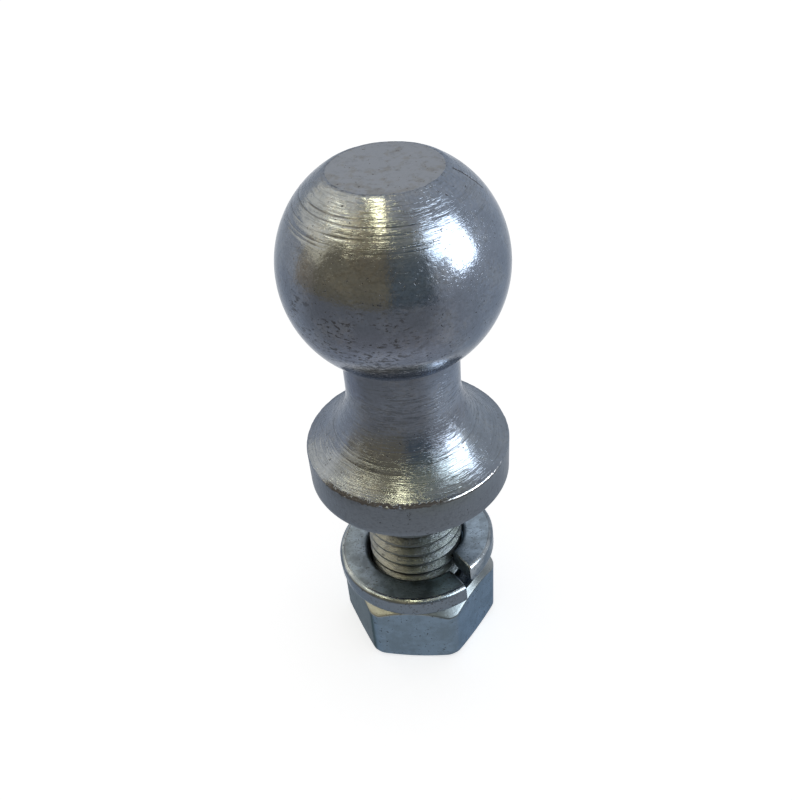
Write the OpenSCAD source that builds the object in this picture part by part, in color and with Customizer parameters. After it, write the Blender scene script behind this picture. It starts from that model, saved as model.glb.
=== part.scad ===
// Sway control ball: a small towing ball turned in one piece with its neck, flange and threaded
// shank, carrying the hex nut and split lock washer that clamp it to a plate.
// The origin is the centre of the nut's lower face, +Z runs up the stud and -Y is the front.
// The threads take the most skill: they are true helices, so the nut screws along the shank.

/* [Ball] */
// Diameter of the ball
ball_d = 31.75; // [29:0.25:38]
// Diameter of the flat turned on top of the ball
ball_flat_d = 15.9; // [6:0.1:22]
// Height of the ball's centre above the face that seats on the plate
ball_rise = 37.05; // [35:0.05:45]

/* [Neck and flange] */
// Diameter of the neck under the ball
neck_d = 17.3; // [15:0.1:21]
// Height of the hollow flare that widens the neck into the flange
flare_h = 10.75; // [9:0.05:13]
// Diameter of the flange
flange_d = 31.75; // [29:0.25:36]
// Height of the flange's straight edge
flange_t = 6.3; // [4:0.1:8]
// Chamfer on the flange's two rims
rim_break = 0.35; // [0.1:0.05:0.8]

/* [Shank] */
// Length of the shank below the flange
shank_len = 35; // [31:0.5:50]
// Diameter of the plain shoulder between the flange and the thread
shoulder_d = 16; // [15.9:0.05:17.5]
// Height of the plain shoulder
shoulder_h = 2.5; // [2.2:0.1:5]
// Chamfer on the shank's lower end
shank_chamfer = 1.4; // [0.5:0.1:2]

/* [Thread] */
// Outer diameter of the shank's thread
thread_d = 15.875; // [14.5:0.125:15.875]
// Pitch of the thread, 11 threads to the inch
thread_pitch = 2.309; // [1.5:0.001:2.6]
// Direction in which a crest of the thread passes the shank's lower end, in degrees
thread_start = -15; // [-180:5:180]
// Space between the shank's thread and the nut's, along the axis and outwards
thread_gap = 0.15; // [0.1:0.01:0.2]

/* [Hex nut] */
// Width of the nut across its flats
nut_af = 24; // [22.5:0.1:27]
// Height of the nut
nut_h = 12.9; // [11:0.1:16]
// Direction of the nut's first corner, in degrees
nut_turn = 52.4; // [0:0.1:60]
// Depth to which the nut's six upright corners are rounded off
nut_corner_cut = 0.45; // [0.2:0.05:0.8]
// Distance from the nut's flats in to the edge of its upper face
nut_top_inset = 1; // [0.2:0.05:1.6]
// Slope of the chamfer round the nut's upper face, in degrees
nut_top_slope = 38; // [15:1:50]
// Distance from the nut's flats in to the edge of its lower face
nut_foot_inset = 0.9; // [0.2:0.05:1.6]
// Slope of the chamfer round the nut's lower face, in degrees
nut_foot_slope = 20; // [10:1:50]
// Width of the countersink outside the nut's thread
countersink = 0.5; // [0.2:0.1:1]
// Height of the shank's end above the nut's lower face
end_recess = 0.8; // [0:0.1:3]

/* [Split lock washer] */
// Outer diameter of the washer
washer_d = 27; // [25:0.1:29]
// Space between the shank's thread and the washer's bore
washer_clearance = 0.46; // [0.4:0.02:1]
// Thickness of the washer's section
washer_t = 3.55; // [2.5:0.05:5]
// Rounding of the four edges of the washer's section
washer_round = 0.85; // [0.3:0.05:1.1]
// Height that the washer's coil climbs from its low end to its high end
washer_rise = 3.5; // [2:0.1:5]
// Angle by which the washer leans on the nut, since its coil isn't flat
washer_lean = 5; // [0:0.5:6]
// Direction in which the washer leans down, in degrees
lean_turn = 132; // [-180:1:180]
// Direction in which the straight cut between the washer's ends runs, in degrees
split_turn = -60; // [-120:1:60]
// Distance from the washer's axis to the face of its low end
split_offset = 1.15; // [0:0.05:3]
// Width of the cut
split_gap = 1.2; // [0.8:0.1:3]
// Space between the nut's upper face and the washer's lowest point
washer_seat_gap = 0.1; // [0.05:0.05:0.3]

/* [Hidden] */

// Steps around one turn of a thread, one coil of the washer and one rounded edge
thread_steps = 32;
washer_steps = 48;
round_steps = 3;

// Unified thread form: a 60 degree ridge whose flat crest is an eighth of the pitch wide
flank_slope = 30;
crest_half = thread_pitch / 16;
shank_root_r = thread_d / 2 - 0.6134 * thread_pitch;
nut_crest_r = thread_d / 2 - 0.5413 * thread_pitch;
nut_root_r = thread_d / 2 + thread_gap;
washer_bore_r = thread_d / 2 + washer_clearance;

// Heights, from the nut's lower face up
shank_end_z = end_recess;
seat_z = shank_end_z + shank_len;
thread_top_z = seat_z - shoulder_h;
flange_top_z = seat_z + flange_t;
flare_top_z = flange_top_z + flare_h;
ball_z = seat_z + ball_rise;
ball_flat_z = ball_z + sqrt(pow(ball_d / 2, 2) - pow(ball_flat_d / 2, 2));

// The flare is a hollow arc that leaves the neck upright and ends at the flange's upper rim
flare_w = (flange_d - neck_d) / 2 - rim_break;
flare_r = (flare_w * flare_w + flare_h * flare_h) / (2 * flare_w);

// Cuts and overlaps reach this far past the faces that they meet
past = 1;

// Half the width of a thread's ridge at radius r, widened by extra
function ridge_half(r, extra) = crest_half + extra + (thread_d / 2 - r) * tan(flank_slope);

// The ridge's section as [radius, height] pairs, from its lower root over the crest
function ridge_section(root_r, crest_r, extra) = [
    [root_r, -ridge_half(root_r, extra)],
    [crest_r, -ridge_half(crest_r, extra)],
    [crest_r, ridge_half(crest_r, extra)],
    [root_r, ridge_half(root_r, extra)]
];

// A closed rod with a right-hand thread that covers at least the heights from z0 to z1
module threaded_rod(root_r, crest_r, extra, z0, z1) {
    section = ridge_section(root_r, crest_r, extra);
    m = len(section);
    top = m - 1;
    first = floor((z0 - shank_end_z) / thread_pitch) - 1;
    last = ceil((z1 - shank_end_z) / thread_pitch) + 1;
    rings = (last - first) * thread_steps;

    function ring_z(i) = shank_end_z + (first + i / thread_steps) * thread_pitch;
    function ring_turn(i) = thread_start + 360 * i / thread_steps;
    foot = (rings + 1) * m;
    head = foot + 1;
    points = concat(
        [for (i = [0:rings]) for (p = section)
            [p[0] * cos(ring_turn(i)), p[0] * sin(ring_turn(i)), ring_z(i) + p[1]]],
        [[0, 0, ring_z(0) - thread_pitch], [0, 0, ring_z(rings) + thread_pitch]]
    );

    // The ridge's faces, then the root that runs from one turn's ridge to the next turn's
    ridge = [for (i = [0:rings - 1]) for (k = [0:top - 1])
        let (a = i * m + k, b = a + m)
        each [[a, b + 1, b], [a, a + 1, b + 1]]];
    root = [for (i = [0:rings - thread_steps - 1])
        let (a = i * m + top, b = a + m, c = (i + thread_steps) * m, d = c + m)
        each [[a, d, b], [a, c, d]]];
    // Each end is a cone that winds in to the axis, and the ridge's own section where it starts
    low_cone = [for (i = [0:thread_steps - 1]) [foot, i * m, (i + 1) * m]];
    high_cone = [for (i = [rings - thread_steps:rings - 1])
        [head, (i + 1) * m + top, i * m + top]];
    end = rings * m;
    low_step = [[for (k = [top:-1:0]) k], [foot, top, 0], [foot, thread_steps * m, top]];
    high_step = [[for (k = [0:top]) end + k], [head, end, end + top],
                 [head, end - thread_steps * m + top, end]];
    polyhedron(points, concat(ridge, root, low_cone, high_cone, low_step, high_step));
}

// Half of the stud's outline from its seat up, to be turned about the axis
module head_outline() {
    difference() {
        union() {
            translate([0, ball_z]) circle(d = ball_d);
            translate([0, flare_top_z]) square([neck_d / 2, ball_z - flare_top_z]);
            difference() {
                translate([0, flange_top_z]) square([neck_d / 2 + flare_w, flare_h]);
                translate([neck_d / 2 + flare_r, flare_top_z]) circle(r = flare_r);
            }
            polygon([
                [0, seat_z],
                [flange_d / 2 - rim_break, seat_z],
                [flange_d / 2, seat_z + rim_break],
                [flange_d / 2, flange_top_z - rim_break],
                [flange_d / 2 - rim_break, flange_top_z],
                [0, flange_top_z]
            ]);
        }
        translate([-ball_d, 0]) square([ball_d, ball_z + ball_d]);
        translate([0, ball_flat_z]) square(ball_d);
    }
}

// The space that the shank's thread fills: a cylinder with its lower end chamfered
module shank_envelope() {
    rotate_extrude($fn = 96) polygon([
        [0, shank_end_z],
        [thread_d / 2 - shank_chamfer, shank_end_z],
        [thread_d / 2 + past, shank_end_z + shank_chamfer + past],
        [thread_d / 2 + past, thread_top_z + past],
        [0, thread_top_z + past]
    ]);
}

module ball_stud() {
    color("lightslategray") {
        rotate_extrude($fn = 96) head_outline();
        translate([0, 0, thread_top_z])
            cylinder(d = shoulder_d, h = shoulder_h + past, $fn = 96);
        intersection() {
            threaded_rod(shank_root_r, thread_d / 2, 0, shank_end_z, thread_top_z + past);
            shank_envelope();
        }
    }
}

// The washer's section as [radius, height] pairs, with its four edges rounded
function washer_section() = let (
    inner = washer_bore_r + washer_round, outer = washer_d / 2 - washer_round,
    low = washer_round, high = washer_t - washer_round,
    corners = [[outer, low, -90], [outer, high, 0], [inner, high, 90], [inner, low, 180]])
    [for (c = corners) for (s = [0:round_steps])
        let (a = c[2] + 90 * s / round_steps)
        [c[0] + washer_round * cos(a), c[1] + washer_round * sin(a)]];

// Direction in which a straight cut, offset from the washer's axis, passes radius r
function cut_turn(r, offset) = split_turn + asin(offset / r);

// A point of the coil, which climbs clockwise seen from above: p is a point of the section, and
// share runs from 0 at the low end to 1 at the high end
function coil_point(p, share) = let (
    low_turn = cut_turn(p[0], split_offset),
    high_turn = cut_turn(p[0], split_offset + split_gap) - 360,
    turn = low_turn + (high_turn - low_turn) * share)
    [p[0] * cos(turn), p[0] * sin(turn), p[1] + washer_rise * share];

// The same point once the washer leans about a level line through its middle
function leaning(p) = let (
    across = p[0] * cos(lean_turn) + p[1] * sin(lean_turn),
    along = p[1] * cos(lean_turn) - p[0] * sin(lean_turn),
    up = p[2] - (washer_t + washer_rise) / 2,
    out = across * cos(washer_lean) + up * sin(washer_lean))
    [out * cos(lean_turn) - along * sin(lean_turn),
     out * sin(lean_turn) + along * cos(lean_turn),
     up * cos(washer_lean) - across * sin(washer_lean)];

// One open coil, lowered until its lowest point lies on the nut
module lock_washer() {
    section = washer_section();
    m = len(section);
    points = [for (i = [0:washer_steps]) for (p = section)
        leaning(coil_point(p, i / washer_steps))];
    lowest = min([for (p = points) p[2]]);
    sides = [for (i = [0:washer_steps - 1]) for (k = [0:m - 1])
        let (a = i * m + k, b = i * m + (k + 1) % m)
        each [[a, a + m, b + m], [a, b + m, b]]];
    low_end = [for (k = [0:m - 1]) k];
    high_end = [for (k = [m - 1:-1:0]) washer_steps * m + k];
    color("slategray") translate([0, 0, nut_h + washer_seat_gap - lowest])
        polyhedron(points, concat(sides, [low_end], [high_end]));
}

// The round blank that the hexagon is cut from, with a chamfer round each face
module nut_envelope() {
    corner_r = nut_af / 2 / cos(30) - nut_corner_cut;
    top_r = nut_af / 2 - nut_top_inset;
    foot_r = nut_af / 2 - nut_foot_inset;
    rotate_extrude($fn = 96) polygon([
        [0, 0],
        [foot_r, 0],
        [corner_r, (corner_r - foot_r) * tan(nut_foot_slope)],
        [corner_r, nut_h - (corner_r - top_r) * tan(nut_top_slope)],
        [top_r, nut_h],
        [0, nut_h]
    ]);
}

// The cone that opens the lower end of the nut's thread
module nut_mouth() {
    mouth_r = nut_root_r + countersink;
    translate([0, 0, -past])
        cylinder(r1 = mouth_r + past, r2 = nut_crest_r - past,
                 h = mouth_r - nut_crest_r + 2 * past, $fn = 96);
}

module hex_nut() {
    color("silver") difference() {
        intersection() {
            rotate(nut_turn) cylinder(d = nut_af / cos(30), h = nut_h, $fn = 6);
            nut_envelope();
        }
        threaded_rod(nut_crest_r, nut_root_r, thread_gap, -past, nut_h + past);
        nut_mouth();
        translate([0, 0, nut_h]) mirror([0, 0, 1]) nut_mouth();
    }
}

ball_stud();
lock_washer();
hex_nut();
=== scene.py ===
import math

import bpy
from mathutils import Matrix, Vector


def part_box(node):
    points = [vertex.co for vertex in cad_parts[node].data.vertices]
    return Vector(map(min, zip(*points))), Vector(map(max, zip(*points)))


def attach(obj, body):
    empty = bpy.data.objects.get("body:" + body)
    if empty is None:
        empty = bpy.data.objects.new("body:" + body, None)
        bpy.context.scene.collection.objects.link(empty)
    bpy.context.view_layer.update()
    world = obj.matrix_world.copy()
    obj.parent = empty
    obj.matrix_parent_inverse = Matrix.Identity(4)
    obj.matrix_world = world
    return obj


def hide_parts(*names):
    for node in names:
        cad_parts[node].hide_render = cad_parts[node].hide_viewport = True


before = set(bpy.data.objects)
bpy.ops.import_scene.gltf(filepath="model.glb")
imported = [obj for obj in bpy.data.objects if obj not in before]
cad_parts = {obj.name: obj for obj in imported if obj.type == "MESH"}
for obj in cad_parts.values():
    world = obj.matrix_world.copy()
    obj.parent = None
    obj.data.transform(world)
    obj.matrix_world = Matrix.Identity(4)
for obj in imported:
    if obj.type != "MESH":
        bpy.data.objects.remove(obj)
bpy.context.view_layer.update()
mm = 0.001
studLow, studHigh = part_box("ball_stud")
washerLow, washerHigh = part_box("lock_washer")
nutLow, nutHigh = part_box("hex_nut")
ballCentre = Vector((0, 0, 72.85 * mm))


# A node's output. Plain numbers and other wires can be added to it, multiplied and so on.
class Wire:
    def __init__(self, graph, socket):
        self.graph = graph
        self.socket = socket

    def output(self, name):
        return Wire(self.graph, pickSocket(self.socket.node.outputs, name))

    def __add__(self, other):
        return self.graph.maths("ADD", self, other)

    def __radd__(self, other):
        return self.graph.maths("ADD", other, self)

    def __sub__(self, other):
        return self.graph.maths("SUBTRACT", self, other)

    def __rsub__(self, other):
        return self.graph.maths("SUBTRACT", other, self)

    def __mul__(self, other):
        return self.graph.maths("MULTIPLY", self, other)

    def __rmul__(self, other):
        return self.graph.maths("MULTIPLY", other, self)

    def __truediv__(self, other):
        return self.graph.maths("DIVIDE", self, other)

    def __rtruediv__(self, other):
        return self.graph.maths("DIVIDE", other, self)

    def __mod__(self, other):
        return self.graph.maths("FLOORED_MODULO", self, other)

    def __neg__(self):
        return self.graph.maths("MULTIPLY", self, -1)


# Builds the nodes of one tree
class Graph:
    def __init__(self, tree):
        self.tree = tree

    def node(self, kind, settings, sockets, output=0):
        node = self.tree.nodes.new(kind)
        for name, value in settings.items():
            setattr(node, name, value)
        for name, value in sockets.items():
            socket = pickSocket(node.inputs, name)
            if isinstance(value, Wire):
                self.tree.links.new(value.socket, socket)
            else:
                socket.default_value = value
        return Wire(self, pickSocket(node.outputs, output)) if node.outputs else None

    def maths(self, operation, *values):
        return self.node("ShaderNodeMath", {"operation": operation}, dict(enumerate(values)))

    def vector(self, x, y, z):
        return self.node("ShaderNodeCombineXYZ", {}, {"X": x, "Y": y, "Z": z})

    def split(self, vector):
        parts = self.node("ShaderNodeSeparateXYZ", {}, {"Vector": vector}, "X")
        return parts, parts.output("Y"), parts.output("Z")

    # 0 below low, 1 above high and smooth between; high may lie below low
    def step(self, value, low, high):
        return self.node("ShaderNodeMapRange", {"interpolation_type": "SMOOTHSTEP"},
                         {"Value": value, "From Min": low, "From Max": high})

    # How much of a mark shows: nothing at low and its full strength at high
    def cover(self, value, low, high, strength):
        return self.step(value, low, high) * strength

    # 1 from low to high, with soft ends
    def band(self, value, low, high, soft):
        return self.step(value, low - soft, low + soft) * self.step(value, high + soft, high - soft)

    def noise(self, vector, scale, detail=2.0, roughness=0.5):
        return self.node("ShaderNodeTexNoise", {},
                         {"Vector": vector, "Scale": scale, "Detail": detail, "Roughness": roughness})

    def mix(self, amount, first, second, blend="MIX"):
        return self.node("ShaderNodeMix", {"data_type": "RGBA", "blend_type": blend},
                         {"Factor": amount, "A": first, "B": second}, "Result")


def pickSocket(sockets, name):
    if isinstance(name, int):
        return sockets[name]
    return next(s for s in sockets if s.name == name and s.enabled)


def colour(red, paintedShadeFace, blue):
    return (red, paintedShadeFace, blue, 1.0)


def direction(azimuth, elevation):  # degrees; azimuth 0 is the front, -Y, and 90 is +X
    a, e = math.radians(azimuth), math.radians(elevation)
    return Vector((math.sin(a) * math.cos(e), -math.cos(a) * math.cos(e), math.sin(e)))


# Turns on the nodes of a material or the world, and clears them
def emptyGraph(block):
    block.use_nodes = True
    block.node_tree.nodes.clear()
    return Graph(block.node_tree)


def addObject(name, data):
    thing = bpy.data.objects.new(name, data)
    bpy.context.scene.collection.objects.link(thing)
    return thing


# How a point lies about the Z axis, with the cosine and sine of its turn
def ringPlace(graph, place):
    x, y, z = graph.split(place)
    radius = graph.maths("SQRT", x * x + y * y)
    away = radius + 0.001  # never 0, so that the axis can be divided by it
    return {"x": x, "y": y, "z": z, "radius": radius, "cos": x / away, "sin": y / away}


# 1 within reach degrees of a direction, 0 beyond it. The turn starts at +X, so the front is at -90.
def facing(graph, ring, turn, reach, soft):
    a = math.radians(turn)
    along = ring["cos"] * math.cos(a) + ring["sin"] * math.sin(a)
    outer, inner = math.radians(reach + soft), math.radians(max(reach - soft, 0))
    return graph.step(along, math.cos(outer), math.cos(inner))


# Paints light and shade onto parts of a piece. Each zone has its lowest and highest point and their
# softness in mm, its turn, reach and softness in degrees or None for all round, and its colour factors.
def paintLightAndShade(graph, ring, shade, paintedLightZones):
    for heights, side, factors in paintedLightZones:
        amount = graph.band(ring["z"], *heights)
        if side:
            amount = amount * facing(graph, ring, *side)
        shade = graph.mix(amount, shade, colour(*factors), "MULTIPLY")
    return shade


# The camera looks down at the ball. The turns are made about its own axes, in the order tilt, pan, roll.
cameraSettings = {
    "distance": 118.865 * mm,
    "elevation": 30.475,
    "tilt": 8.892,
    "pan": 0.555,
    "roll": -4.790,
    "focalPixels": 874.03,
    "photoHeight": 800,
    "sensor": 36.0,
    "clip": (0.005, 20),
}


def makeCamera(s):
    data = bpy.data.cameras.new("camera")
    camera = addObject("camera", data)
    back = direction(0, s["elevation"])
    right = Vector((1, 0, 0))
    down = (-back).cross(right)
    turn = (Matrix.Rotation(math.radians(s["roll"]), 3, "Z")
            @ Matrix.Rotation(math.radians(s["pan"]), 3, "Y")
            @ Matrix.Rotation(math.radians(s["tilt"]), 3, "X"))
    axes = turn @ Matrix((right, down, -back))
    columns = Matrix((axes[0], -axes[1], -axes[2])).transposed()
    camera.matrix_world = Matrix.Translation(ballCentre + back * s["distance"]) @ columns.to_4x4()
    data.sensor_width = s["sensor"]
    data.lens = s["focalPixels"] * s["sensor"] / s["photoHeight"]
    data.clip_start, data.clip_end = s["clip"]
    bpy.context.scene.camera = camera


makeCamera(cameraSettings)
print("camera made")


# Floor and world are white to the camera and in reflections. Everything else sees a soft grey.
stageSettings = {
    "floorRadius": 3.0,
    "floorStep": 5,
    "floorColour": colour(0.8, 0.8, 0.8),
    "floorGlow": 0.62,
    "worldLight": 0.55,
}


# 1 for the camera's rays and those that metal and glass send on, otherwise 0
def seenRay(graph):
    path = graph.node("ShaderNodeLightPath", {}, {}, "Is Camera Ray")
    seen = path + path.output("Is Glossy Ray") + path.output("Is Transmission Ray")
    return graph.maths("MINIMUM", seen, 1)


def makeFloor(s):
    mesh = bpy.data.meshes.new("floor")
    corners = [direction(a, 0) * s["floorRadius"] for a in range(0, 360, s["floorStep"])]
    mesh.from_pydata([(c.x, -c.y, 0) for c in reversed(corners)], [], [list(range(len(corners)))])
    floor = addObject("floor", mesh)
    material = bpy.data.materials.new("paleFloor")
    graph = emptyGraph(material)
    paint = graph.node("ShaderNodeBsdfDiffuse", {}, {"Color": s["floorColour"]})
    glow = graph.node("ShaderNodeEmission", {}, {"Strength": seenRay(graph) * s["floorGlow"]})
    both = graph.node("ShaderNodeAddShader", {}, {0: paint, 1: glow})
    graph.node("ShaderNodeOutputMaterial", {}, {"Surface": both})
    mesh.materials.append(material)


def makeWorld(s):
    world = bpy.data.worlds.new("studio")
    graph = emptyGraph(world)
    strength = s["worldLight"] + (1 - s["worldLight"]) * seenRay(graph)
    light = graph.node("ShaderNodeBackground", {}, {"Color": colour(1, 1, 1), "Strength": strength})
    graph.node("ShaderNodeOutputWorld", {}, {"Surface": light})
    bpy.context.scene.world = world
    bpy.context.scene.view_settings.view_transform = "Standard"


makeFloor(stageSettings)
makeWorld(stageSettings)
print("stage made")


# Each panel faces the ball. Its place and size are given in degrees as the ball sees them, and its
# radiance is the brightness of its reflection. The two tubes lie overhead, side by side, and their
# places and widths are shares of their height above the ball.
lampSettings = {
    "panels": [
        {"name": "windowWide", "azimuth": 72, "elevation": 22, "width": 26, "height": 36, "distance": 1.0,
         "colour": (0.96, 0.99, 1.0), "radiance": 12.0},
        {"name": "windowNarrow", "azimuth": 51, "elevation": 33, "width": 17, "height": 22, "distance": 1.0,
         "colour": (0.85, 0.95, 1.0), "radiance": 7.0},
        {"name": "sideGlow", "azimuth": -108, "elevation": 40, "width": 66, "height": 54, "distance": 0.62,
         "colour": (1.0, 0.86, 0.56), "radiance": 1.25},
    ],
    "tubeHeight": 0.42,
    "tubes": [
        {"name": "nearTube", "side": -0.15, "front": -0.73, "back": 0.35, "width": 0.070,
         "colour": (1.0, 0.88, 0.50), "radiance": 23.0},
        {"name": "farTube", "side": -0.92, "front": -0.84, "back": 0.35, "width": 0.085,
         "colour": (1.0, 0.90, 0.56), "radiance": 10.0},
    ],
}


def makeLamp(name, place, width, height, tint, radiance):
    data = bpy.data.lights.new(name, "AREA")
    data.shape = "RECTANGLE"
    data.size = width
    data.size_y = height
    data.color = tint
    data.energy = radiance * math.pi * width * height
    lamp = addObject(name, data)
    lamp.location = place
    lamp.visible_camera = False
    lamp.visible_diffuse = False
    return lamp


def makeLamps(s):
    for p in s["panels"]:
        far = p["distance"]
        aim = direction(p["azimuth"], p["elevation"])
        width = 2 * far * math.tan(math.radians(p["width"] / 2))
        height = 2 * far * math.tan(math.radians(p["height"] / 2))
        lamp = makeLamp(p["name"], ballCentre + aim * far, width, height, p["colour"], p["radiance"])
        lamp.rotation_euler = aim.to_track_quat("Z", "Y").to_euler()
    up = s["tubeHeight"]
    for t in s["tubes"]:
        middle = Vector((t["side"], (t["front"] + t["back"]) / 2, 1)) * up
        length = (t["back"] - t["front"]) * up
        makeLamp(t["name"], ballCentre + middle, t["width"] * up, length, t["colour"], t["radiance"])


makeLamps(lampSettings)


# Boards stand in front, behind the camera, and one lies on the floor there. They give the metal its
# dark bands, and only reflections see them. Each fades upwards from its foot's colour to its head's.
# A board with an end turns white there, and the one on the floor is white at the back and round the part.
boardSettings = {
    "steps": 24,
    "distance": 0.80,
    "floorGap": 0.5 * mm,
    "frontSide": (-116, 63, 18),
    "bareRadius": (42 * mm, 72 * mm),
    "endFade": 7,
    "boards": [
        {"name": "cornerBoard", "from": -104, "to": -78, "low": -12, "high": 24, "fade": (0, 24),
         "foot": colour(0.74, 0.62, 0.46), "head": colour(0.98, 0.88, 0.68), "end": -104},
        {"name": "warmBoard", "from": -78, "to": -5, "low": -12, "high": 80, "fade": (28, 50),
         "foot": colour(0.57, 0.48, 0.32), "head": colour(1.05, 0.88, 0.54)},
        {"name": "coolBoard", "from": -5, "to": 40, "low": -12, "high": 70, "fade": (18, 62),
         "foot": colour(0.28, 0.33, 0.35), "head": colour(0.90, 0.88, 0.72), "end": 40},
        {"name": "floorBoard", "from": -120, "to": 80, "low": -60, "high": -12, "fade": (-12, 0),
         "foot": colour(0.62, 0.60, 0.58), "head": colour(0.62, 0.60, 0.58), "bare": colour(1, 1, 1)},
    ],
}


def makeBoard(b, s):
    points = []
    far, steps = s["distance"], s["steps"]
    for i in range(steps + 1):
        for k in range(steps + 1):
            azimuth = b["from"] + (b["to"] - b["from"]) * i / steps
            elevation = b["low"] + (b["high"] - b["low"]) * k / steps
            aim = direction(azimuth, elevation)
            reach = far if elevation >= 0 else min(far, (s["floorGap"] - ballCentre.z) / aim.z)
            points.append(ballCentre + aim * reach)
    row = steps + 1
    faces = [(i * row + k, i * row + k + 1, (i + 1) * row + k + 1, (i + 1) * row + k)
             for i in range(steps) for k in range(steps)]
    mesh = bpy.data.meshes.new(b["name"])
    mesh.from_pydata(points, [], faces)
    board = addObject(b["name"], mesh)
    material = bpy.data.materials.new(b["name"])
    graph = emptyGraph(material)
    place = graph.node("ShaderNodeTexCoord", {}, {}, "Object")
    height = graph.split(place)[2] - ballCentre.z
    low, high = [far * math.sin(math.radians(e)) for e in b["fade"]]
    shade = graph.mix(graph.step(height, low, high), b["foot"], b["head"])
    ring = ringPlace(graph, place)
    if "bare" in b:
        covered = facing(graph, ring, *s["frontSide"]) * graph.step(ring["radius"], *s["bareRadius"])
        shade = graph.mix(covered, b["bare"], shade)
    if "end" in b:
        atEnd = facing(graph, ring, b["end"] - 90, 0, s["endFade"])
        shade = graph.mix(atEnd, shade, colour(1, 1, 1))
    glow = graph.node("ShaderNodeEmission", {}, {"Color": shade, "Strength": 1.0})
    graph.node("ShaderNodeOutputMaterial", {}, {"Surface": glow})
    mesh.materials.append(material)
    board.visible_camera = False
    board.visible_diffuse = False
    board.visible_shadow = False


for board in boardSettings["boards"]:
    makeBoard(board, boardSettings)
print("lamps and boards made")


def startMaterial(name):
    material = bpy.data.materials.new(name)
    graph = emptyGraph(material)
    place = graph.node("ShaderNodeTexCoord", {}, {}, "Object")
    place = graph.node("ShaderNodeVectorMath", {"operation": "SCALE"}, {"Vector": place, "Scale": 1 / mm})
    return material, graph, place  # place is in millimetres


def endMaterial(graph, tint, roughness, metallic, height, depth, edgeTint):
    bump = graph.node("ShaderNodeBump", {}, {"Strength": 1.0, "Distance": depth, "Height": height})
    metal = graph.node("ShaderNodeBsdfPrincipled", {},
                       {"Base Color": tint, "Roughness": roughness, "Metallic": metallic, "Normal": bump,
                        "Specular Tint": edgeTint})
    graph.node("ShaderNodeOutputMaterial", {}, {"Surface": metal})


# Each noise is given by its scale, detail and roughness
def makeNoises(graph, place, noises):
    return {name: graph.noise(place, *values) for name, values in noises.items()}


# Rings that run round the Z axis. They fade in and out along the way, quickly where drift is high.
def ringMarks(graph, ring, scale, drift, detail):
    spot = graph.vector(ring["radius"] * scale, ring["z"] * scale, ring["cos"] * drift)
    return graph.node("ShaderNodeTexNoise", {"noise_dimensions": "4D"},
                      {"Vector": spot, "W": ring["sin"] * drift, "Scale": 1.0, "Detail": detail,
                       "Roughness": 0.6})


# Thin lines that run one way: turn and tip in degrees say which, and few is the share left out
def scratches(graph, place, turn, tip, size, few):
    along, across = 0.22 / size, 5.0 / size
    turned = graph.node("ShaderNodeMapping", {},
                        {"Vector": place, "Rotation": (math.radians(tip), 0, math.radians(turn)),
                         "Scale": (along, across, across)})
    return graph.step(graph.noise(turned, 1.0, 1.0), few, few + 0.06)


# The grooves are cut into the stud's mesh too. The same noise fades both round the axis.
grooveSettings = {
    # Height, width and depth in mm
    "grooves": [
        (85.75, 0.16, 0.030),
        (85.06, 0.18, 0.040),
        (84.72, 0.26, 0.085),
        (84.12, 0.22, 0.060),
        (83.40, 0.16, 0.030),
        (83.00, 0.20, 0.045),
        (82.10, 0.16, 0.030),
        (81.70, 0.16, 0.030),
        (47.25, 0.18, 0.035),
        (45.90, 0.18, 0.035),
        (45.50, 0.20, 0.050),
        (44.60, 0.18, 0.035),
        (43.05, 0.16, 0.035),
    ],
    "fadeRise": 2.2,
    "fadeNoise": (1.3, 1.0),
    "fade": (0.44, 0.60),
    "strongTurn": -125,
    "strongReach": (0.3, 0.8),  # cosines of the angle from strongTurn
    "evenHeights": (60, 50),  # below the ball the grooves are strong all round
}


def grooveFade(graph, cosine, sine, height):
    s = grooveSettings
    wave = graph.noise(graph.vector(cosine, sine, height * s["fadeRise"]), *s["fadeNoise"])
    a = math.radians(s["strongTurn"])
    strong = graph.step(cosine * math.cos(a) + sine * math.sin(a), *s["strongReach"])
    strong = graph.maths("MAXIMUM", strong * 0.8 + 0.2, graph.step(height, *s["evenHeights"]))
    return graph.step(wave, *s["fade"]) * strong


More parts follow.
